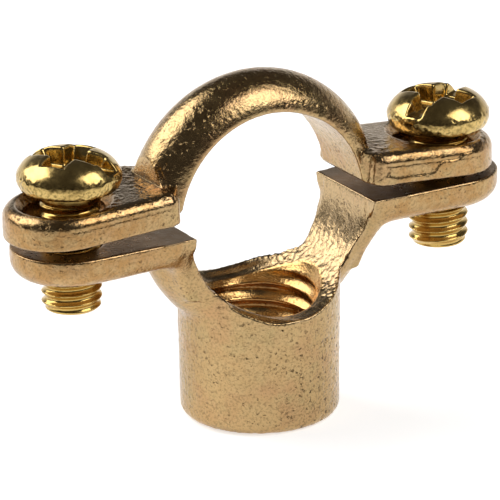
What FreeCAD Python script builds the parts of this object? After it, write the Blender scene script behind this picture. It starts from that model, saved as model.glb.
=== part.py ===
"""Two-piece cast brass pipe ring with a tapped boss, closed by two M5 screws.

Frame: millimetres, +Z up. X runs along the ears, Y along the pipe, and the
origin is the centre of the boss's lower face, on the rod's axis.
"""
import FreeCAD, Part
import math
import os
import Sketcher

SIZES = {
    # ring
    "bore_radius": "8.2",
    "bore_axis_height": "17.72",
    "ring_width": "6.3",
    "rim_flat": "0.35",
    "strap_thickness": "2.8",
    "arm_thickness": "2.5",
    # parting faces: the base's is this far under the bore axis, the strap's this far above the base's
    "parting_drop": "0.34",
    "ear_gap": "1.4",
    # ears
    "base_ear_thickness": "2.45",
    "strap_ear_thickness": "2.55",
    "ear_half_width": "4.6",
    "ear_droop": "3.5",
    "strap_ear_round": "0.6",
    "base_ear_round": "1.5",
    "parting_edge_round": "0.5",
    "base_ear_corner": "1.3",
    "strap_ear_corner": "0.8",
    "base_ear_start": "0.5",
    "strap_ear_start": "0.6",
    "ear_end_offset": "17.25",
    "screw_offset": "17.0",
    "tapped_hole_radius": "2.5",
    "strap_hole_radius": "3.2",
    "strap_hole_flare": "0.7",
    "strap_sideways": "-0.55",
    "strap_roll": "0.75",
    # the strap's bore is eased to this radius about the base's own bore axis, so that the
    # pipe passes the loose strap
    "pipe_way_radius": "7.99",
    # boss
    "boss_bottom_radius": "6.4",
    "boss_top_radius": "6.6",
    "boss_edge_round": "0.9",
    "arm_blend": "1.5",
    "rod_hole_radius": "4.25",
    "rod_mouth_radius": "5.05",
    "rod_mouth_drop": "0.8",
    "rod_entry_radius": "4.85",
    "rod_entry_depth": "0.6",
    # screws, M5 x 10 pan head
    "shank_radius": "2.45",
    "shank_length": "10.0",
    "shank_tip_radius": "2.0",
    "shank_tip_length": "0.45",
    "head_radius": "4.15",
    "head_underside_radius": "3.85",
    "head_widest_height": "1.15",
    "head_edge_radius": "1.6",
    "head_dome_radius": "2.4",
    "head_top_radius": "2.4",
    "head_shoulder_height": "2.7",
    "head_height": "3.0",
    "slot_width": "1.3",
    "slot_depth": "1.4",
    "cross_width": "1.8",
    "cross_half_length": "2.35",
    "cross_depth": "1.7",
    "left_head_level": "22.05",
    "right_head_level": "21.15",
    "left_head_turn": "33",
    "right_head_turn": "117",
}

doc = FreeCAD.newDocument("pipe_ring")
sheet = doc.addObject("Spreadsheet::Sheet", "sizes")
for row, (alias, text) in enumerate(SIZES.items(), start=1):
    sheet.set(f"A{row}", alias)
    sheet.set(f"B{row}", text)
    sheet.setAlias(f"B{row}", alias)
doc.recompute()

# derived heights, as expressions on the sheet
BORE_AXIS = "sizes.bore_axis_height"
BASE_TOP = "sizes.bore_axis_height - sizes.parting_drop"
STRAP_FOOT = "sizes.bore_axis_height - sizes.parting_drop + sizes.ear_gap"
# a cutter's reach past the whole part, and a profile's reach past the face that trims it
OVERSIZE = "30"
OVERLAP = "1"
# two points nearer than this are one
TOUCH = 0.01


def number(expression):
    """The value in millimetres of an expression on the sheet."""
    value = sheet.evalExpression(expression)
    return float(getattr(value, "Value", value))


def new_body(name):
    body = doc.addObject("PartDesign::Body", name)
    body.Label = name
    return body


def origin_feature(body, role):
    for feature in body.Origin.OriginFeatures:
        if feature.Role == role:
            return feature
    raise ValueError(role)


def new_sketch(body, plane, name, height="0", local="z"):
    """A sketch on one of the body's origin planes, moved along one of its own axes."""
    sketch = body.newObject("Sketcher::SketchObject", name)
    sketch.AttachmentSupport = [(origin_feature(body, plane), "")]
    sketch.MapMode = "FlatFace"
    sketch.setExpression(f"AttachmentOffset.Base.{local}", height)
    return sketch


def pin_point(sketch, edge, end, x, y):
    """Hold one end of an edge at a place given by two expressions."""
    for axis, kind, value in ((-2, "DistanceX", x), (-1, "DistanceY", y)):
        if value == "0":
            sketch.addConstraint(Sketcher.Constraint("PointOnObject", edge, end, axis))
            continue
        index = sketch.addConstraint(Sketcher.Constraint(kind, -1, 1, edge, end, number(value)))
        sketch.setExpression(f"Constraints[{index}]", value)


def arc_between(start, end, radius, left):
    """The short arc of a radius from start to end, bulging to its left or right."""
    chord = end - start
    half = chord.Length / 2
    side = FreeCAD.Vector(-chord.y, chord.x, 0).normalize() * (1 if left else -1)
    sagitta = radius - math.sqrt(max(radius**2 - half**2, 0))
    return Part.Arc(start, (start + end) / 2 + side * sagitta, end)


def closed_outline(sketch, corners):
    """Draw a closed outline. A corner is (x, y) or, where an arc leaves it, (x, y, radius, left)."""
    points = [FreeCAD.Vector(number(c[0]), number(c[1]), 0) for c in corners]
    heads = []
    for place, corner in enumerate(corners):
        start, end = points[place], points[(place + 1) % len(points)]
        if len(corner) == 2:
            edge = sketch.addGeometry(Part.LineSegment(start, end), False)
            heads.append((edge, 1, 2))
            continue
        radius, left = number(corner[2]), corner[3]
        edge = sketch.addGeometry(arc_between(start, end, radius, left), False)
        # arcs are stored counter-clockwise, so one that bulges left of its travel is reversed
        heads.append((edge, 2, 1) if left else (edge, 1, 2))
    for place, corner in enumerate(corners):
        edge, start, end = heads[place]
        following, next_start, _ = heads[(place + 1) % len(heads)]
        sketch.addConstraint(Sketcher.Constraint("Coincident", edge, end, following, next_start))
        pin_point(sketch, edge, start, corner[0], corner[1])
        if len(corner) > 2:
            index = sketch.addConstraint(Sketcher.Constraint("Radius", edge, number(corner[2])))
            sketch.setExpression(f"Constraints[{index}]", corner[2])


def circle(sketch, x, y, radius):
    edge = sketch.addGeometry(
        Part.Circle(FreeCAD.Vector(number(x), number(y), 0), FreeCAD.Vector(0, 0, 1), number(radius)), False
    )
    pin_point(sketch, edge, 3, x, y)
    index = sketch.addConstraint(Sketcher.Constraint("Radius", edge, number(radius)))
    sketch.setExpression(f"Constraints[{index}]", radius)


def pad(body, sketch, name, length):
    feature = body.newObject("PartDesign::Pad", name)
    feature.Profile = sketch
    feature.setExpression("Length", length)
    return feature


def cut_through(body, sketch, name):
    """A pocket right through the body, both ways from the sketch."""
    feature = body.newObject("PartDesign::Pocket", name)
    feature.Profile = sketch
    feature.Type = "ThroughAll"
    feature.Midplane = True
    return feature


def turn(body, sketch, name, axis, angle=360, kind="PartDesign::Revolution"):
    feature = body.newObject(kind, name)
    feature.Profile = sketch
    feature.ReferenceAxis = (sketch, [axis])
    feature.Angle = angle
    feature.Midplane = angle != 360
    return feature


def dress(body, base, kind, name, size, wanted):
    """Round or bevel the edges of the last feature that the test wanted picks."""
    doc.recompute()
    names = [f"Edge{i}" for i, edge in enumerate(base.Shape.Edges, start=1) if wanted(edge)]
    if not names:
        raise ValueError(f"{name} has no edge to work on")
    feature = body.newObject(kind, name)
    feature.Base = (base, names)
    feature.setExpression("Radius" if kind == "PartDesign::Fillet" else "Size", size)
    return feature


def half_round(sketch, side, thickness):
    """The ring's section about the bore axis: flat rims and a half-round back."""
    half = "sizes.ring_width / 2"
    inner = f"{side}(sizes.bore_radius - {OVERLAP})"
    rim = f"{side}(sizes.bore_radius + sizes.rim_flat)"
    rise = f"({thickness} - sizes.rim_flat)"
    back = f"(sizes.ring_width^2 / 4 + {rise}^2) / (2 * {rise})"
    closed_outline(
        sketch,
        [
            (f"-{half}", inner),
            (f"-{half}", rim, back, side == ""),
            (half, rim),
            (half, inner),
        ],
    )


def ear_outline(sketch, side, start, corner):
    """An ear in plan, measured from the bore's wall: square at the ring, round at its end."""
    inner = f"{side}({start})"
    turned = f"{side}({start} + {corner})"
    centre = f"{side}(sizes.ear_end_offset - sizes.bore_radius)"
    outer = f"{side}(sizes.ear_end_offset - sizes.bore_radius + sizes.ear_half_width)"
    half = "sizes.ear_half_width"
    right = side == ""
    closed_outline(
        sketch,
        [
            (inner, f"{corner} - {half}", corner, not right),
            (turned, f"-{half}"),
            (centre, f"-{half}", half, not right),
            (outer, "0", half, not right),
            (centre, half),
            (turned, half, corner, not right),
            (inner, f"{half} - {corner}"),
        ],
    )


def on_ear_top(edge, side):
    """Whether an edge outlines the drooping top face of one of the strap's ears."""
    sign = -1 if side == "-" else 1
    slope = math.tan(math.radians(number("sizes.ear_droop")))
    top = number(STRAP_FOOT) + number("sizes.strap_ear_thickness") / math.cos(math.atan(slope))
    clear = number("sizes.bore_radius + sizes.strap_ear_start")
    for vertex in edge.Vertexes:
        reach = sign * vertex.X - number("sizes.bore_radius")
        if abs(vertex.Z - (top - slope * reach)) > TOUCH:
            return False
    return sign * edge.CenterOfMass.x > clear and abs(edge.CenterOfMass.y) > TOUCH


def on_ear_end(edge, side):
    """Whether an edge is half of the round end, on the underside, of one of the base's ears."""
    sign = -1 if side == "-" else 1
    level = number(f"{BASE_TOP} - sizes.base_ear_thickness")
    flat = all(abs(vertex.Z - level) < TOUCH for vertex in edge.Vertexes)
    return flat and sign * edge.CenterOfMass.x > number("sizes.ear_end_offset + sizes.ear_half_width / 2")


def on_arm_foot(edge):
    """Whether an edge is where one of the base's arms runs into the side of the boss."""
    centre = edge.CenterOfMass
    low = centre.z < number("sizes.bore_axis_height - sizes.bore_radius + sizes.arm_thickness")
    beside = TOUCH < abs(centre.x) < number("sizes.boss_top_radius") and abs(centre.y) < TOUCH
    return low and beside and edge.Curve.TypeId == "Part::GeomBSplineCurve"


def make_base():
    body = new_body("base_ring")

    section = new_sketch(body, "XZ_Plane", "boss_section")
    closed_outline(
        section,
        [
            ("0", "0"),
            ("sizes.boss_bottom_radius - sizes.boss_edge_round", "0", "sizes.boss_edge_round", False),
            ("sizes.boss_bottom_radius", "sizes.boss_edge_round"),
            ("sizes.boss_top_radius", BASE_TOP),
            ("0", BASE_TOP),
        ],
    )
    turn(body, section, "boss", "V_Axis")

    ring = new_sketch(body, "YZ_Plane", "arm_section", BORE_AXIS, "y")
    half_round(ring, "-", "sizes.arm_thickness")
    turn(body, ring, "arms", "H_Axis", 180)

    for side, name in (("-", "left"), ("", "right")):
        plan = new_sketch(body, "XY_Plane", f"{name}_ear_plan", f"{BASE_TOP} - sizes.base_ear_thickness")
        plan.setExpression("AttachmentOffset.Base.x", f"{side}sizes.bore_radius")
        ear_outline(plan, side, "sizes.base_ear_start", "sizes.base_ear_corner")
        ear = pad(body, plan, f"{name}_ear", "sizes.base_ear_thickness")
        ear_round = dress(
            body, ear, "PartDesign::Fillet", f"{name}_ear_underside_round", "sizes.base_ear_round",
            lambda edge: on_ear_end(edge, side),
        )

    dress(body, ear_round, "PartDesign::Fillet", "arm_foot_blend", "sizes.arm_blend", on_arm_foot)

    above = new_sketch(body, "XZ_Plane", "above_parting")
    closed_outline(
        above,
        [(f"-{OVERSIZE}", BASE_TOP), (OVERSIZE, BASE_TOP), (OVERSIZE, OVERSIZE), (f"-{OVERSIZE}", OVERSIZE)],
    )
    cut_through(body, above, "parting_face")

    bore = new_sketch(body, "XZ_Plane", "bore_circle")
    circle(bore, "0", BORE_AXIS, "sizes.bore_radius")
    open_bore = cut_through(body, bore, "pipe_bore")
    dress(
        body, open_bore, "PartDesign::Fillet", "parting_edge_round", "sizes.parting_edge_round",
        lambda edge: len(edge.Vertexes) == 2 and abs(edge.CenterOfMass.y) < TOUCH
        and abs(edge.CenterOfMass.z - number(BASE_TOP)) < TOUCH
        and abs(edge.CenterOfMass.x) < number("sizes.bore_radius") + TOUCH,
    )

    saddle = "sizes.bore_axis_height - sizes.bore_radius"
    mouth_grow = "(sizes.rod_mouth_radius - sizes.rod_hole_radius)"
    rod = new_sketch(body, "XZ_Plane", "rod_hole_section")
    closed_outline(
        rod,
        [
            ("0", "0"),
            ("sizes.rod_entry_radius", "0"),
            ("sizes.rod_hole_radius", "sizes.rod_entry_depth"),
            ("sizes.rod_hole_radius", f"{saddle} - sizes.rod_mouth_drop"),
            (f"sizes.rod_mouth_radius + 2 * {mouth_grow}", f"{saddle} + 2 * sizes.rod_mouth_drop"),
            ("0", f"{saddle} + 2 * sizes.rod_mouth_drop"),
        ],
    )
    turn(body, rod, "rod_hole", "V_Axis", 360, "PartDesign::Groove")

    holes = new_sketch(body, "XY_Plane", "tapped_hole_circles")
    circle(holes, "sizes.screw_offset", "0", "sizes.tapped_hole_radius")
    circle(holes, "-sizes.screw_offset", "0", "sizes.tapped_hole_radius")
    cut_through(body, holes, "tapped_holes")
    return body


def make_strap():
    body = new_body("top_strap")

    ring = new_sketch(body, "YZ_Plane", "strap_section", BORE_AXIS, "y")
    half_round(ring, "", "sizes.strap_thickness")
    turn(body, ring, "half_ring", "H_Axis", 180)

    for side, name, lean in (("-", "left", "-"), ("", "right", "")):
        plan = new_sketch(body, "XY_Plane", f"{name}_ear_plan", STRAP_FOOT)
        plan.AttachmentOffset = FreeCAD.Placement(
            FreeCAD.Vector(), FreeCAD.Rotation(FreeCAD.Vector(0, 1, 0), 1)
        )
        plan.setExpression("AttachmentOffset.Rotation.Angle", f"{lean}sizes.ear_droop")
        plan.setExpression("AttachmentOffset.Base.x", f"{side}sizes.bore_radius")
        ear_outline(plan, side, "sizes.strap_ear_start", "sizes.strap_ear_corner")
        ear = pad(body, plan, f"{name}_ear", "sizes.strap_ear_thickness")
        dress(
            body, ear, "PartDesign::Fillet", f"{name}_ear_top_round", "sizes.strap_ear_round",
            lambda edge: on_ear_top(edge, side),
        )

    below = new_sketch(body, "XZ_Plane", "below_parting")
    sunk = f"{STRAP_FOOT} - ({OVERSIZE} - sizes.bore_radius) * tan(sizes.ear_droop)"
    closed_outline(
        below,
        [
            (f"-{OVERSIZE}", "0"),
            (OVERSIZE, "0"),
            (OVERSIZE, sunk),
            ("sizes.bore_radius", STRAP_FOOT),
            ("-sizes.bore_radius", STRAP_FOOT),
            (f"-{OVERSIZE}", sunk),
        ],
    )
    cut_through(body, below, "parting_face")

    bore = new_sketch(body, "XZ_Plane", "bore_circle")
    circle(bore, "0", BORE_AXIS, "sizes.bore_radius")
    cut_through(body, bore, "pipe_bore")
    way = new_sketch(body, "XZ_Plane", "pipe_way_circle")
    circle(way, "-sizes.strap_sideways", BORE_AXIS, "sizes.pipe_way_radius")
    cut_through(body, way, "pipe_way")

    holes = new_sketch(body, "XY_Plane", "screw_hole_circles")
    circle(holes, "sizes.screw_offset", "0", "sizes.strap_hole_radius")
    circle(holes, "-sizes.screw_offset", "0", "sizes.strap_hole_radius")
    through = cut_through(body, holes, "screw_holes")
    dress(
        body, through, "PartDesign::Chamfer", "screw_hole_flare", "sizes.strap_hole_flare",
        lambda edge: edge.Closed and edge.BoundBox.XLength < 3 * number("sizes.strap_hole_radius")
        and edge.CenterOfMass.z > number(STRAP_FOOT) + number("sizes.strap_ear_thickness") / 2,
    )
    # the strap lies loose on the screws, a little to one side and rolled about the bore's axis
    body.Placement = FreeCAD.Placement(FreeCAD.Vector(), FreeCAD.Rotation(FreeCAD.Vector(0, 1, 0), 1))
    body.setExpression("Placement.Rotation.Angle", "sizes.strap_roll")
    sway = "sizes.bore_axis_height * sin(sizes.strap_roll)"
    body.setExpression("Placement.Base.x", f"sizes.strap_sideways - {sway}")
    body.setExpression("Placement.Base.z", "sizes.bore_axis_height * (1 - cos(sizes.strap_roll))")
    return body


def make_screw(name, side, level, head_turn):
    body = new_body(name)
    section = new_sketch(body, "XZ_Plane", f"{name}_section")
    closed_outline(
        section,
        [
            ("0", "-sizes.shank_length"),
            ("sizes.shank_tip_radius", "-sizes.shank_length"),
            ("sizes.shank_radius", "sizes.shank_tip_length - sizes.shank_length"),
            ("sizes.shank_radius", "0"),
            ("sizes.head_underside_radius", "0", "sizes.head_edge_radius", False),
            ("sizes.head_radius", "sizes.head_widest_height", "sizes.head_dome_radius", False),
            ("sizes.head_top_radius", "sizes.head_shoulder_height"),
            ("0", "sizes.head_height"),
        ],
    )
    turn(body, section, f"{name}_turned", "V_Axis")

    for cut, across, along, depth in (
        ("slot", "sizes.slot_width / 2", f"sizes.head_radius + {OVERLAP}", "sizes.slot_depth"),
        ("cross", "sizes.cross_half_length", "sizes.cross_width / 2", "sizes.cross_depth"),
        ("cross_along", "sizes.cross_width / 2", "sizes.cross_half_length", "sizes.cross_depth"),
    ):
        plan = new_sketch(body, "XY_Plane", f"{name}_{cut}_plan", "sizes.head_height")
        closed_outline(
            plan,
            [(f"-{across}", f"-({along})"), (across, f"-({along})"), (across, along), (f"-{across}", along)],
        )
        pocket = body.newObject("PartDesign::Pocket", f"{name}_{cut}")
        pocket.Profile = plan
        pocket.setExpression("Length", depth)
    body.Placement = FreeCAD.Placement(FreeCAD.Vector(), FreeCAD.Rotation(FreeCAD.Vector(0, 0, 1), 1))
    body.setExpression("Placement.Rotation.Angle", head_turn)
    body.setExpression("Placement.Base.x", f"{side}sizes.screw_offset")
    body.setExpression("Placement.Base.z", level)
    return body


def main():
    pieces = [
        make_base(),
        make_strap(),
        make_screw("screw_left", "-", "sizes.left_head_level", "sizes.left_head_turn"),
        make_screw("screw_right", "", "sizes.right_head_level", "sizes.right_head_turn"),
    ]
    doc.recompute()
    for thing in doc.Objects:
        if "Invalid" in thing.State or "Error" in thing.State:
            raise RuntimeError(f"{thing.Name}: {thing.State}")
    os.makedirs("parts", exist_ok=True)
    for piece in pieces:
        shape = piece.Shape
        if shape.isNull() or not shape.isValid() or len(shape.Solids) != 1:
            raise RuntimeError(f"{piece.Label} is not one valid solid")
        shape.exportStep(f"parts/{piece.Label}.step")
        print(piece.Label, round(shape.Volume, 2), shape.BoundBox)


main()
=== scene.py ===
"""Looks of a cast brass pipe ring: two castings grown from the CAD solids, and two machine screws.

Lengths are in millimetres until they are handed to Blender, which works in metres. In the CAD frame x runs
along the ears, y along the pipe, and z up. The front is the side with negative y.
"""
import math

import bpy
import numpy as np
import openvdb
from mathutils import Matrix, Vector


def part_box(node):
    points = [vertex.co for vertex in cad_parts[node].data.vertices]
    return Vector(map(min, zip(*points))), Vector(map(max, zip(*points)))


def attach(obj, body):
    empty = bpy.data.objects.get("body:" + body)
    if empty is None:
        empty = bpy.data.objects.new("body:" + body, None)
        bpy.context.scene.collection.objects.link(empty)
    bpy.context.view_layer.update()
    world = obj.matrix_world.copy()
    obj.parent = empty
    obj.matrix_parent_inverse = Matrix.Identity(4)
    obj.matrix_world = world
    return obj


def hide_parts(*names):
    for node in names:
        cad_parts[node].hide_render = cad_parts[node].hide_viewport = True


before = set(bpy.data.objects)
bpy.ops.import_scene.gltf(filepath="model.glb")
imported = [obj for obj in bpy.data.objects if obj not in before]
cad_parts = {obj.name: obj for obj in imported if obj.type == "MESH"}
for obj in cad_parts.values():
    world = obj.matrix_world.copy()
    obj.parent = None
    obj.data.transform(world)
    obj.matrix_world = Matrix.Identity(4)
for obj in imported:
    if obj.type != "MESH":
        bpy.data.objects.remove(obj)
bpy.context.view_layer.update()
MM = 0.001

# the lower casting, as in the CAD part
BORE_RADIUS = 8.2
BORE_HEIGHT = 17.72
PARTING_HEIGHT = 17.38
BOSS_RADIUS = 6.55
EAR_HALF_WIDTH = 4.6
RING_HALF_WIDTH = 3.15

# the rod's thread in the boss
ROD_CREST = 4.25
ROD_ROOT = 4.80
ROD_PITCH = 1.5
ROD_MOUTH = 5.05

# the strap, which sits to one side, leans, and has ears that fall outwards
STRAP_FOOT = 18.78
STRAP_SIDEWAYS = -0.55
STRAP_LEAN = math.tan(math.radians(0.75))
STRAP_EAR_THICKNESS = 2.55
EAR_FALL = math.tan(math.radians(3.5))
EAR_END = 17.25
EAR_ROUND = 0.95

# the screws
SCREW_OFFSET = 17.0
SCREW_CREST = 2.45
SCREW_ROOT = 2.08
SCREW_PITCH = 0.8
SCREW_LEVEL = {"screw_left": 22.05, "screw_right": 21.15}
SCREW_TURN = {"screw_left": 33.0, "screw_right": 117.0}

# details of the castings that the CAD solids leave out
FLARE_HEIGHT = 6.0
FLARE_START = RING_HALF_WIDTH - 0.45
FLARE_REACH = 11.0
LIP_RISE = 0.55
LIP_FLOOR = 7.5
FRONT_BEVEL = 0.62
FINE_EDGE = 0.02
WORN_CORNER = 0.55
TRIMMING_LEVEL = 1.0
LUMP_HEIGHT = 0.002
BASE_SAND = 0.0045
STRAP_SAND = 0.0048

# the recess in a screw's head: a cross whose wings open upwards, and a slot over one pair of them
RECESS_FLOOR = 1.3
WING_LENGTH = 2.2
WING_HALF_WIDTH = 0.72
SLOT_FLOOR = 1.65
SLOT_HALF_WIDTH = 0.55
ROLLED_GRAIN = 0.011

# the distance to a thread's slanting flank, as a share of the one along the radius
ROD_FLANK = 0.85
SCREW_FLANK = 0.86

# the fields' grids, the voxels of band on each side of a surface, and the limit for a piece
CAST_VOXEL = 0.10
SCREW_VOXEL = 0.08
BAND = 10
MOST_TRIANGLES = 190_000

# the camera's direction and roll in degrees, the point that it looks at, and its lens
VIEW_AZIMUTH, VIEW_ELEVATION, VIEW_ROLL = -30.28, 19.70, -0.72
AIM_RIGHT, AIM_HEIGHT = -0.64, 13.53
VIEW_DISTANCE, LENS, SENSOR = 475.6, 428.74, 36.0

# two softboxes: azimuth, elevation, width and height
SOFTBOXES = {"front_softbox": (36, 43, 380, 400), "back_softbox": (-137, 40, 520, 480)}
SOFTBOX_RADIANCE = 3.4
SOFTBOX_DISTANCE = 600
SOFTBOX_AIM = 15
ROOM = (0.065, 0.062, 0.06, 1)
WHITE = (1, 1, 1, 1)


# ---------------------------------------------------------------- distance fields
class Field:
    """Signed distance from a surface on a grid of cubes, negative inside, with the grid's x, y and z."""

    def __init__(self, points, triangles, voxel):
        self.voxel = voxel
        grid = openvdb.FloatGrid.createLevelSetFromPolygons(
            points / voxel, triangles=triangles, halfWidth=BAND
        )
        self.low = np.floor(points.min(0) / voxel).astype(int) - BAND
        high = np.ceil(points.max(0) / voxel).astype(int) + BAND
        self.values = np.zeros(high - self.low, np.float32)
        grid.copyToArray(self.values, ijk=tuple(int(i) for i in self.low))
        self.values *= voxel
        steps = [
            (np.arange(count, dtype=np.float32) + start) * voxel
            for count, start in zip(self.values.shape, self.low)
        ]
        self.x, self.y, self.z = np.meshgrid(*steps, indexing="ij", sparse=True)

    def at(self, values, points):
        """Values between the grid's points, at points in millimetres."""
        values = np.broadcast_to(values, self.values.shape)
        place = points / self.voxel - self.low
        corner = np.clip(np.floor(place).astype(int), 0, np.array(values.shape) - 2)
        part = place - corner
        total = np.zeros(len(points))
        for step in np.ndindex(2, 2, 2):
            share = np.prod(np.where(step, part, 1 - part), axis=1)
            total += share * values[tuple((corner + step).T)]
        return total

    def surface(self):
        """The zero surface as points in millimetres and quads that face out of the solid."""
        grid = openvdb.FloatGrid(BAND * self.voxel)
        grid.copyFromArray(self.values, ijk=tuple(int(i) for i in self.low))
        points, _, quads = grid.convertToPolygons(isovalue=0.0, adaptivity=0.0)
        a, b, c = (points[quads[:, i]] for i in (0, 1, 2))
        volume = np.einsum("ij,ij->i", a, np.cross(b, c)).sum()
        return points * self.voxel, quads if volume > 0 else quads[:, ::-1]

    def pit(self, seed, count, radius, depth, likely):
        """Scatter small round pits over the surface, where the field likely is high."""
        chance = np.random.default_rng(seed)
        shell = np.argwhere(np.abs(self.values) < 0.6 * self.voxel)
        shell = shell[chance.permutation(len(shell))[: 40 * count]]
        keen = np.broadcast_to(likely, self.values.shape)[tuple(shell.T)]
        shell = shell[chance.random(len(shell)) < keen][:count]
        for place in shell:
            size = radius * chance.uniform(0.6, 1.3)
            reach = int(math.ceil(size / self.voxel)) + 2
            box = tuple(slice(max(int(i) - reach, 0), int(i) + reach + 1) for i in place)
            steps = [np.arange(b.start, min(b.stop, n)) - i for b, n, i in zip(box, self.values.shape, place)]
            away = np.sqrt(sum(np.square(g) for g in np.meshgrid(*steps, indexing="ij", sparse=True)))
            lift = size - min(depth, 0.6 * size)
            near = self.values[box]
            from_ball = np.sqrt(np.maximum(np.square(away * self.voxel) - 2 * lift * near + lift**2, 0))
            self.values[box] = np.maximum(near, size - from_ball)


def blurred(values, reach):
    """Gaussian blur, with the reach in voxels."""
    taps = int(math.ceil(2.5 * reach))
    weights = np.exp(-0.5 * (np.arange(-taps, taps + 1) / reach) ** 2)
    weights = (weights / weights.sum()).astype(np.float32)
    for axis in range(3):
        pad = [(taps, taps) if a == axis else (0, 0) for a in range(3)]
        wide = np.pad(values, pad, mode="edge")
        size = values.shape[axis]
        values = np.zeros_like(values)
        for i, weight in enumerate(weights):
            values += weight * wide[tuple(slice(i, i + size) if a == axis else slice(None) for a in range(3))]
    return values


def grain(shape, seed, fine, coarse):
    """Smooth random lumps between two sizes in voxels, with mean 0 and spread 1."""
    white = np.random.default_rng(seed).standard_normal(shape, dtype=np.float32)
    lumps = blurred(white, fine)
    lumps -= blurred(lumps, coarse)
    return lumps / lumps.std()


def ramp(value, start, end):
    """0 before start, 1 past end, smooth between."""
    t = np.clip((value - start) / (end - start), 0, 1)
    return t * t * (3 - 2 * t)


def joined(a, b, soft):
    """Union of two fields with a soft seam."""
    h = np.clip(0.5 + 0.5 * (b - a) / soft, 0, 1)
    return b + (a - b) * h - soft * h * (1 - h)


def cut(a, b, soft):
    """Field a with b taken away, with a soft edge."""
    return -joined(-a, b, soft)


def thread_radius(z, angle, pitch, crest, root):
    """Radius of a right-hand helical thread, with narrow crests and wide round roots."""
    phase = (z / pitch - angle / (2 * math.pi)) % 1.0
    away = np.abs(phase - 0.5) * 2
    return root + (crest - root) * np.minimum(away, 0.94) ** 1.7


# ---------------------------------------------------------------- meshes
def corners_of(mesh):
    points = np.zeros(len(mesh.vertices) * 3, np.float32)
    mesh.vertices.foreach_get("co", points)
    return points.reshape(-1, 3)


def cad_surface(node):
    """A CAD node's corners in millimetres and its triangles."""
    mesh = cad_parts[node].data
    mesh.calc_loop_triangles()
    triangles = np.zeros(len(mesh.loop_triangles) * 3, np.int32)
    mesh.loop_triangles.foreach_get("vertices", triangles)
    return corners_of(mesh) / MM, triangles.reshape(-1, 3)


def quad_mesh(name, points, quads):
    mesh = bpy.data.meshes.new(name)
    mesh.vertices.add(len(points))
    mesh.vertices.foreach_set("co", points.astype(np.float32).ravel())
    mesh.loops.add(quads.size)
    mesh.loops.foreach_set("vertex_index", quads.astype(np.int32).ravel())
    mesh.polygons.add(len(quads))
    mesh.polygons.foreach_set("loop_start", np.arange(len(quads), dtype=np.int32) * 4)
    mesh.update(calc_edges=True)
    mesh.validate()
    return mesh


def thinned(mesh):
    """The mesh with no more triangles than a piece may have, fewest on its flat parts."""
    triangles = 2 * len(mesh.polygons)
    if triangles <= MOST_TRIANGLES:
        return mesh
    stand_in = bpy.data.objects.new("stand_in", mesh)
    bpy.context.scene.collection.objects.link(stand_in)
    stand_in.modifiers.new("fewer", "DECIMATE").ratio = MOST_TRIANGLES / triangles
    graph = bpy.context.evaluated_depsgraph_get()
    thin = bpy.data.meshes.new_from_object(stand_in.evaluated_get(graph))
    bpy.data.objects.remove(stand_in)
    return thin


def new_piece(name, field, facts, node, body, material, spin=np.eye(3), centre=np.zeros(3)):
    """A mesh of a field's surface, standing for a CAD node.

    Facts are fields whose values stay on the mesh's points for its material to read. The field's own frame
    is turned by spin and moved to centre.
    """
    mesh = thinned(quad_mesh(name, *field.surface()))
    mesh.name = name
    points = corners_of(mesh)
    for fact, values in facts.items():
        layer = mesh.attributes.new(fact, "FLOAT", "POINT")
        layer.data.foreach_set("value", field.at(values, points).astype(np.float32))
    low, high = (np.array(corner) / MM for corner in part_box(node))
    points = np.clip(points @ spin.T + centre, low, high) * MM
    mesh.vertices.foreach_set("co", points.astype(np.float32).ravel())
    mesh.shade_smooth()
    mesh.update()
    mesh.materials.append(material)
    piece = bpy.data.objects.new(name, mesh)
    bpy.context.scene.collection.objects.link(piece)
    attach(piece, body)
    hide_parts(node)


# ---------------------------------------------------------------- lower casting
def arm_flare(field, out_x, from_bore):
    """The arms widen upwards from the ring's rim to the ears' full width at the parting face."""
    below = PARTING_HEIGHT - field.z
    widening = (EAR_HALF_WIDTH - FLARE_START) * ramp(-below, -FLARE_HEIGHT, 0.6)
    sides = 0.9 * (np.abs(field.y) - FLARE_START - widening)
    sides = np.maximum(sides, np.maximum(-below, below - FLARE_HEIGHT))
    outer_end = 0.8 * (out_x - FLARE_REACH + 0.5 * below)
    return np.maximum(sides, np.maximum(BORE_RADIUS - from_bore, outer_end))


def saddle_lip(x, y, z, from_rod, from_bore):
    """The back of the saddle's edge stands a little proud of the bore."""
    rise = LIP_RISE * ramp(from_rod, 5.3, 6.2) * ramp(y, 2.4, 4.6)
    rise = rise * ramp(x, -6.0, -3.0) * ramp(-x, -5.6, -2.6)
    lip = np.maximum(from_rod - BOSS_RADIUS + 0.12, BORE_RADIUS - rise - from_bore)
    return np.maximum(np.maximum(lip, z - BORE_HEIGHT), LIP_FLOOR - z)


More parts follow.
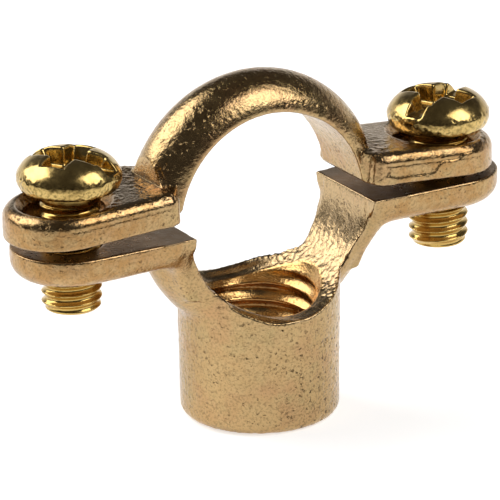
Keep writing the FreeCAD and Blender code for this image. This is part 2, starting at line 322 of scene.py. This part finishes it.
def base_casting(material):
    field = Field(*cad_surface("base_ring"), CAST_VOXEL)
    x, y, z = field.x, field.y, field.z
    out_x = np.abs(x)
    from_rod = np.sqrt(x**2 + y**2)
    from_bore = np.sqrt(x**2 + (z - BORE_HEIGHT) ** 2)

    # the corners under the ears are soft, as they came out of the sand
    crisp = joined(blurred(field.values, 0.7), arm_flare(field, out_x, from_bore), 0.25)
    soft = blurred(crisp, 4.5)
    under_ear = ramp(PARTING_HEIGHT - z, 0.7, 1.7) * ramp(out_x, 7.4, 8.4) * ramp(-out_x, -15.5, -12.0)
    solid = crisp + (soft - crisp) * under_ear

    # the saddle's back lip, and the worn bevel of its front edge, widest on the left and gone at the arms
    solid = joined(solid, saddle_lip(x, y, z, from_rod, from_bore), 0.2)
    worn = ramp(x, -5.8, -4.6) * ramp(-x, -0.2, 2.6)
    bevel = FINE_EDGE + FRONT_BEVEL * worn - ramp(out_x, 4.8, 5.8)
    edge = 0.45 * (bevel - BOSS_RADIUS + from_rod) - 0.9 * (from_bore - BORE_RADIUS)
    solid = np.where((y < -2.5) & (from_rod < BOSS_RADIUS + 0.3), np.maximum(solid, edge), solid)
    worn = worn * (y < -2.5) * ramp(-from_bore, -BORE_RADIUS - 0.5, -BORE_RADIUS - 0.35)

    # the rod's thread runs out into a wider mouth
    groove = thread_radius(z, np.arctan2(y, x), ROD_PITCH, ROD_CREST, ROD_ROOT)
    mouth = ROD_CREST + ramp(from_bore, BORE_RADIUS + 0.9, BORE_RADIUS - 0.2) * (ROD_MOUTH - ROD_CREST)
    solid = cut(solid, (from_rod - np.maximum(groove, mouth)) * ROD_FLANK, 0.06)

    # the machined faces are smooth, and the sand left the rest lumpy, most of all the boss
    thread = ramp(-from_rod, -5.3, -5.0)
    parting = ramp(z, PARTING_HEIGHT - 0.07, PARTING_HEIGHT - 0.02)
    saddle = ramp(-from_bore, -BORE_RADIUS - 0.25, -BORE_RADIUS - 0.05)
    machined = np.maximum(np.maximum(thread, parting), 0.3 * saddle)
    lumps = grain(solid.shape, 11, 6.0, 16.0)
    sand = grain(solid.shape, 12, 0.9, 2.2)
    beside_mouth = saddle * ramp(x, 2.5, 4.5) * ramp(-from_rod, -8.6, -7.0) * (1 - thread)
    on_boss = ramp(-from_rod, -7.6, -7.0) * ramp(-z, -12.5, -10.5)
    rough = 1 - 0.85 * machined + 1.8 * beside_mouth
    rough = rough * (1 + 1.6 * on_boss * (1 - machined)) * (1 - 0.8 * worn)
    field.values = (solid + (LUMP_HEIGHT * lumps + BASE_SAND * sand) * rough).astype(np.float32)

    # pits, mostly low on the right of the boss's front
    lower_right = ramp(x * 0.35 - y * 0.94, 0.5, 6.0) * ramp(x, -3.0, 2.0) * ramp(-z, -11.0, -5.0)
    pitted = np.clip(0.08 + 0.9 * lower_right + 0.12 * lumps, 0, 1) * (1 - machined)
    field.pit(seed=13, count=700, radius=0.11, depth=0.045, likely=pitted)
    facts = {
        "hollow_shade": blurred(field.values, 2.5), "machined": machined, "thread": thread, "pitted": pitted,
        "ear": ramp(out_x, 8, 11), "parting": parting,
    }
    new_piece("base_casting", field, facts, "base_ring", "base", material)


# ---------------------------------------------------------------- strap
def ear_web(field, out_x, above_foot, below_top, from_bore):
    """A slanting web fills the step between the ring's rim and the side of an ear."""
    start, reach = 8.5, 1.2
    rise = (EAR_HALF_WIDTH - RING_HALF_WIDTH) / reach
    side = np.abs(field.y) - RING_HALF_WIDTH - rise * (out_x - start)
    web = np.maximum(side / math.hypot(1, rise), np.abs(field.y) - EAR_HALF_WIDTH)
    web = np.maximum(web, np.maximum(start - out_x, out_x - start - reach - 1))
    web = np.maximum(web, np.maximum(-above_foot, -below_top))
    return np.maximum(web, BORE_RADIUS - from_bore)


def skin_marks(y, out_x, across, above_foot, below_top, lumps):
    """A trimming line along the ears' sides, and the sunk skin beyond a step on the right ear's front."""
    flank = ramp(np.abs(y), EAR_HALF_WIDTH - 0.4, EAR_HALF_WIDTH - 0.15) * ramp(out_x, 9.4, 10.0)
    line = np.exp(-np.square((below_top - TRIMMING_LEVEL) / 0.09)) * flank
    step = 0.5 + 0.9 * ramp(across, 14.2, 15.4) + 0.4 * ramp(across, 16.0, 17.6) + 0.12 * lumps
    sunk = ramp(above_foot, step - 0.05, step + 0.07) * flank * (y < 0)
    sunk = sunk * ramp(across, 9.4, 9.9) * ramp(-across, -18.5, -16.5)
    return line, sunk


def strap_casting(material):
    field = Field(*cad_surface("top_strap"), CAST_VOXEL)
    x, y, z = field.x, field.y, field.z
    across = x - STRAP_SIDEWAYS
    out_x = np.abs(across)
    from_bore = np.sqrt(across**2 + (z - BORE_HEIGHT) ** 2)
    above_foot = z + STRAP_LEAN * across - STRAP_FOOT + EAR_FALL * np.maximum(out_x - BORE_RADIUS, 0)
    below_top = STRAP_EAR_THICKNESS - above_foot

    # the corner where the ring rises from an ear is soft
    web = ear_web(field, out_x, above_foot, below_top, from_bore)
    crisp = joined(blurred(field.values, 0.7), web, 0.15)
    soft = blurred(crisp, 3.0)
    foot = ramp(from_bore, 9.2, 10.2) * ramp(-from_bore, -13.0, -11.8)
    foot = foot * ramp(-below_top, -0.7, 0.2) * ramp(below_top, -2.0, -0.9)
    solid = crisp + (soft - crisp) * foot

    # the inner corner at the parting face is worn, and the ears' top edges are well rounded
    corner = WORN_CORNER - above_foot - (from_bore - BORE_RADIUS)
    solid = np.where(out_x < BORE_RADIUS + 1.5, np.maximum(solid, 0.7 * corner), solid)
    in_side = EAR_HALF_WIDTH - np.hypot(np.maximum(out_x - EAR_END, 0), y)
    rounded = np.hypot(np.maximum(EAR_ROUND - in_side, 0), np.maximum(EAR_ROUND - below_top, 0)) - EAR_ROUND
    solid = np.where(out_x > 9.6, np.maximum(solid, rounded), solid)

    lumps = grain(solid.shape, 21, 5.5, 14.0)
    sand = grain(solid.shape, 22, 0.9, 2.2)
    line, sunk = skin_marks(y, out_x, across, above_foot, below_top, lumps)
    solid = solid + 0.05 * line + 0.07 * sunk

    # the bore, the underside and the ears' tops are machined or worn smooth, except around the screws
    bore = ramp(-from_bore, -BORE_RADIUS - 0.2, -BORE_RADIUS - 0.02)
    ear_top = ramp(-below_top, -0.12, -0.04) * ramp(out_x, 10.6, 11.4)
    underside = ramp(-above_foot, -0.10, -0.04)
    machined = np.maximum(np.maximum(bore, underside), 0.9 * ear_top)
    around_hole = ramp(-np.hypot(np.abs(x) - SCREW_OFFSET, y), -4.4, -3.9) * ramp(-below_top, -1.0, -0.3)
    rough = 1 - 0.85 * machined + 3.0 * foot + 2.0 * around_hole
    field.values = (solid + (LUMP_HEIGHT * lumps + STRAP_SAND * sand) * rough).astype(np.float32)
    pitted = np.clip(0.12 + 0.15 * lumps + 0.5 * foot, 0, 1) * (1 - machined)
    field.pit(seed=23, count=160, radius=0.15, depth=0.06, likely=pitted)
    facts = {
        "hollow_shade": blurred(field.values, 2.5), "machined": machined, "thread": np.zeros(1, np.float32),
        "pitted": pitted, "ear": ramp(out_x, 10, 12), "parting": underside,
    }
    new_piece("strap_casting", field, facts, "top_strap", "strap", material)


# ---------------------------------------------------------------- screws
def screw(node, body, material):
    """A screw, made in a frame with its origin under the head and the slot along its y."""
    side = -1 if node == "screw_left" else 1
    centre = np.array([side * SCREW_OFFSET, 0, SCREW_LEVEL[node]])
    turn = math.radians(SCREW_TURN[node])
    spin = np.array([[math.cos(turn), -math.sin(turn), 0], [math.sin(turn), math.cos(turn), 0], [0, 0, 1]])
    points, triangles = cad_surface(node)
    field = Field(((points - centre) @ spin).astype(np.float32), triangles, SCREW_VOXEL)
    x, y, z = field.x, field.y, field.z
    radius = np.sqrt(x**2 + y**2)
    solid = blurred(field.values, 0.8)

    # the wings of the recess lean outwards and have rolled-over edges
    up = np.maximum(z - RECESS_FLOOR, 0)
    for along, over in ((x, y), (y, x)):
        wing = np.maximum(np.abs(along) - WING_LENGTH - 0.5 * up, np.abs(over) - WING_HALF_WIDTH - 0.22 * up)
        solid = cut(solid, np.maximum(wing, RECESS_FLOOR - z), 0.22)
    slot = np.maximum(np.abs(x) - SLOT_HALF_WIDTH - 0.12 * up, SLOT_FLOOR - z)
    solid = cut(solid, slot, 0.2)

    # the thread stops short of the head
    run_out = ramp(z, -1.1, -0.5)
    groove = thread_radius(z, np.arctan2(y, x), SCREW_PITCH, SCREW_CREST, SCREW_ROOT) + run_out
    shank = np.maximum(solid, (radius - groove) * SCREW_FLANK)
    solid = np.where(z < -0.2, shank, solid)

    # the head's flank keeps the grain that it was rolled with
    rolled = ramp(-z, -1.75, -1.25) * ramp(z, -0.1, 0.1) * ramp(radius, 3.2, 3.6)
    sand = grain(solid.shape, 31 + side, 1.2, 3.0)
    field.values = (solid + ROLLED_GRAIN * sand * (0.06 + rolled)).astype(np.float32)
    facts = {"hollow_shade": blurred(field.values, 2.5), "rolled": rolled, "shank": ramp(-z, -0.05, 0.05)}
    new_piece(f"{node}_brass", field, facts, node, body, material, spin, centre)


# ---------------------------------------------------------------- materials
class Nodes:
    """A small helper to build a node tree."""

    def __init__(self, tree):
        self.tree = tree

    def add(self, kind, settings=None, **inputs):
        node = self.tree.nodes.new(kind)
        for key, value in (settings or {}).items():
            setattr(node, key, value)
        for key, value in inputs.items():
            self.join(node.inputs[key.replace("_", " ")], value)
        return node

    def join(self, socket, value):
        if isinstance(value, bpy.types.NodeSocket):
            self.tree.links.new(value, socket)
        else:
            socket.default_value = value

    def fit(self, value, low, high, to_low=0.0, to_high=1.0):
        node = self.add(
            "ShaderNodeMapRange", {"interpolation_type": "SMOOTHSTEP"},
            Value=value, From_Min=low, From_Max=high, To_Min=to_low, To_Max=to_high,
        )
        return node.outputs["Result"]

    def math(self, operation, a, b):
        node = self.add("ShaderNodeMath", {"operation": operation})
        self.join(node.inputs[0], a)
        self.join(node.inputs[1], b)
        return node.outputs[0]

    def vector(self, operation, *values):
        node = self.add("ShaderNodeVectorMath", {"operation": operation})
        for socket, value in zip(node.inputs, values):
            self.join(socket, value)
        return node.outputs["Value" if operation == "DOT_PRODUCT" else "Vector"]

    def mix(self, share, a, b):
        node = self.add("ShaderNodeMix", {"data_type": "RGBA"})
        self.join(node.inputs["Factor"], share)
        self.join(node.inputs[6], a)
        self.join(node.inputs[7], b)
        return node.outputs[2]


class Material(Nodes):
    """A material whose patterns lie in the object's own frame, in millimetres."""

    def __init__(self, name):
        self.material = bpy.data.materials.new(name)
        self.material.use_nodes = True
        super().__init__(self.material.node_tree)
        self.shader = self.tree.nodes["Principled BSDF"]
        where = self.add("ShaderNodeTexCoord")
        mapping = self.add("ShaderNodeMapping", Vector=where.outputs["Object"], Scale=(1 / MM,) * 3)
        self.place = mapping.outputs[0]

    def noise(self, scale, detail=3.0, roughness=0.5, seed=0.0):
        node = self.add(
            "ShaderNodeTexNoise", {"noise_dimensions": "4D"},
            Vector=self.place, W=seed, Scale=scale, Detail=detail, Roughness=roughness,
        )
        return node.outputs["Fac"]

    def fact(self, name):
        return self.add("ShaderNodeAttribute", {"attribute_name": name}).outputs["Fac"]

    def bump(self, height, distance, below=None):
        node = self.add("ShaderNodeBump", Height=height, Distance=distance, Strength=1.0)
        if below is not None:
            self.join(node.inputs["Normal"], below)
        return node.outputs["Normal"]


def pits(n):
    """Small ragged pits, thicker where the casting is porous."""
    twist = n.add("ShaderNodeTexNoise", {"noise_dimensions": "3D"}, Vector=n.place, Scale=3.5, Detail=2.0)
    ragged = n.vector("MULTIPLY_ADD", twist.outputs["Color"], (0.5, 0.5, 0.5), n.place)
    cells = n.add("ShaderNodeTexVoronoi", {"voronoi_dimensions": "3D"}, Vector=ragged, Scale=2.3)
    chosen = n.fit(n.add("ShaderNodeSeparateXYZ", Vector=cells.outputs["Color"]).outputs[0], 0.45, 0.55)
    share = n.fit(n.fact("pitted"), 0.0, 0.6, 0.25, 1.0)
    return n.math("MULTIPLY", n.fit(cells.outputs["Distance"], 0.32, 0.16), n.math("MULTIPLY", chosen, share))


def cast_brass():
    n = Material("cast_brass")
    gold, copper, olive = (0.50, 0.345, 0.165, 1), (0.47, 0.295, 0.145, 1), (0.46, 0.335, 0.160, 1)
    speck_and_shade, fresh, clean = (0.10, 0.065, 0.03, 1), (0.64, 0.385, 0.145, 1), (0.52, 0.39, 0.24, 1)
    rosy, parting_shade = (0.42, 0.240, 0.092, 1), (0.31, 0.190, 0.085, 1)

    # the cast skin in three tones, and rosy stains that are strongest on the ears
    colour = n.mix(n.fit(n.noise(0.35, seed=1.0), 0.46, 0.66), gold, copper)
    colour = n.mix(n.fit(n.noise(0.6, seed=2.0), 0.5, 0.72), colour, olive)
    stain = n.fit(n.noise(1.1, 3, 0.6, seed=6.0), 0.36, 0.64, 0.25, 1.0)
    colour = n.mix(n.math("MULTIPLY", stain, n.fit(n.fact("ear"), 0.0, 1.0, 0.22, 0.95)), colour, rosy)

    # the machined faces, and painted shade on the parting faces, which face each other across the gap between
    # the castings
    colour = n.mix(n.fact("machined"), colour, clean)
    colour = n.mix(n.fact("thread"), colour, fresh)
    # painted shade: the parting faces, inside the gap between the castings, are darkened
    colour = n.mix(n.math("MULTIPLY", n.fact("parting"), 0.8), colour, parting_shade)

    # dark specks in the skin, painted shade in the hollows, and painted shade in the pits
    mottle = n.fit(n.noise(5.0, 3, 0.6, seed=3.0), 0.44, 0.70)
    porous = n.fit(n.fact("pitted"), 0.0, 0.8, 0.42, 0.66)
    on_skin = n.math("SUBTRACT", porous, n.math("MULTIPLY", n.fact("machined"), 0.3))
    colour = n.mix(n.math("MULTIPLY", mottle, on_skin), colour, speck_and_shade)
    # painted shade: the colour darkens where the surface is hollow
    colour = n.mix(n.math("MULTIPLY", n.fit(n.fact("hollow_shade"), -0.02, -0.10), 0.75), colour, speck_and_shade)
    pit = pits(n)
    # painted shade: the pits' colour is darkened, standing for the shade inside them
    colour = n.mix(n.math("MULTIPLY", pit, 0.8), colour, speck_and_shade)

    n.join(n.shader.inputs["Base Color"], colour)
    n.shader.inputs["Metallic"].default_value = 1.0
    rough = n.fit(n.noise(1.3, seed=4.0), 0.3, 0.7, 0.13, 0.26)
    n.join(n.shader.inputs["Roughness"], n.math("ADD", rough, n.math("MULTIPLY", n.fact("parting"), 0.15)))
    sand = n.bump(n.noise(5.5, 2, 0.6, seed=5.0), 0.032 * MM)
    n.join(n.shader.inputs["Normal"], n.bump(n.math("SUBTRACT", 1.0, pit), 0.05 * MM, sand))
    return n.material


def turned_brass():
    n = Material("turned_brass")
    bright, tarnish = (0.62, 0.44, 0.16, 1), (0.47, 0.32, 0.11, 1)
    shank, speck_and_shade = (0.56, 0.375, 0.115, 1), (0.16, 0.11, 0.035, 1)
    colour = n.mix(n.fit(n.noise(0.8, seed=7.0), 0.42, 0.66), bright, tarnish)
    colour = n.mix(n.fact("shank"), colour, shank)
    specks = n.fit(n.noise(4.2, 3, 0.6, seed=10.0), 0.46, 0.62)
    colour = n.mix(n.math("MULTIPLY", specks, n.math("MULTIPLY", n.fact("rolled"), 0.7)), colour, speck_and_shade)
    # painted shade: the recess and the roots of the thread are darkened where the surface is hollow
    colour = n.mix(n.math("MULTIPLY", n.fit(n.fact("hollow_shade"), -0.02, -0.12), 0.35), colour, speck_and_shade)
    n.join(n.shader.inputs["Base Color"], colour)
    n.shader.inputs["Metallic"].default_value = 1.0
    n.join(n.shader.inputs["Roughness"], n.fit(n.noise(2.2, seed=8.0), 0.3, 0.7, 0.14, 0.26))
    n.join(n.shader.inputs["Normal"], n.bump(n.noise(2.4, seed=9.0), 0.008 * MM))
    return n.material


# ---------------------------------------------------------------- studio
def direction(azimuth, elevation):
    """Unit vector from the object to the side that is turned azimuth degrees from its front."""
    a, e = math.radians(azimuth), math.radians(elevation)
    return Vector((math.sin(a) * math.cos(e), -math.cos(a) * math.cos(e), math.sin(e)))


def softbox(name, azimuth, elevation, width, height):
    back = direction(azimuth, elevation)
    data = bpy.data.lights.new(name, "AREA")
    data.shape, data.size, data.size_y = "RECTANGLE", width * MM, height * MM
    data.energy = SOFTBOX_RADIANCE * math.pi * width * height * MM**2
    light = bpy.data.objects.new(name, data)
    light.location = (Vector((0, 0, SOFTBOX_AIM)) + back * SOFTBOX_DISTANCE) * MM
    light.rotation_mode = "QUATERNION"
    light.rotation_quaternion = back.to_track_quat("Z", "Y")
    light.visible_camera = False
    bpy.context.scene.collection.objects.link(light)


def room():
    """A lit backdrop low behind the object, and a dark room above and in front of it."""
    world = bpy.data.worlds.new("studio")
    bpy.context.scene.world = world
    world.use_nodes = True
    n = Nodes(world.node_tree)
    towards = n.add("ShaderNodeTexCoord").outputs["Generated"]
    behind = n.fit(n.vector("DOT_PRODUCT", towards, -direction(VIEW_AZIMUTH, 0)), 0.25, 0.7)
    low = n.fit(n.add("ShaderNodeSeparateXYZ", Vector=towards).outputs["Z"], 0.42, 0.08)
    background = n.tree.nodes["Background"]
    n.join(background.inputs["Color"], n.mix(n.math("MULTIPLY", behind, low), ROOM, WHITE))
    background.inputs["Strength"].default_value = 1.0


def paper_floor():
    """White paper that glows behind the object and fades in front of it."""
    mesh = bpy.data.meshes.new("floor")
    reach = 2.0
    mesh.from_pydata(
        [(-reach, -reach, 0), (reach, -reach, 0), (reach, reach, 0), (-reach, reach, 0)], [], [(0, 1, 2, 3)]
    )
    floor = bpy.data.objects.new("floor", mesh)
    n = Material("white_paper")
    n.shader.inputs["Base Color"].default_value = (0.9, 0.9, 0.9, 1)
    n.shader.inputs["Roughness"].default_value = 0.9
    n.shader.inputs["Emission Color"].default_value = WHITE
    ahead = n.vector("DOT_PRODUCT", n.place, direction(VIEW_AZIMUTH, 0))
    n.join(n.shader.inputs["Emission Strength"], n.fit(ahead, 16.0, 115.0, 0.60, 0.0))
    mesh.materials.append(n.material)
    bpy.context.scene.collection.objects.link(floor)


def camera():
    back = direction(VIEW_AZIMUTH, VIEW_ELEVATION)
    level = Vector((math.cos(math.radians(VIEW_AZIMUTH)), math.sin(math.radians(VIEW_AZIMUTH)), 0))
    place = (level * AIM_RIGHT + Vector((0, 0, AIM_HEIGHT)) + back * VIEW_DISTANCE) * MM
    roll = Matrix.Rotation(math.radians(VIEW_ROLL), 3, back)
    right, up = roll @ level, roll @ back.cross(level)
    data = bpy.data.cameras.new("camera")
    data.sensor_width, data.lens = SENSOR, LENS
    data.clip_start, data.clip_end = 0.01, 20.0
    made = bpy.data.objects.new("camera", data)
    made.matrix_world = Matrix.Translation(place) @ Matrix((right, up, back)).transposed().to_4x4()
    bpy.context.scene.collection.objects.link(made)
    bpy.context.scene.camera = made


camera()
room()
for name, placing in SOFTBOXES.items():
    softbox(name, *placing)
paper_floor()
bpy.context.scene.view_settings.view_transform = "Standard"

casting, bright = cast_brass(), turned_brass()
base_casting(casting)
strap_casting(casting)
screw("screw_left", "left_screw", bright)
screw("screw_right", "right_screw", bright)
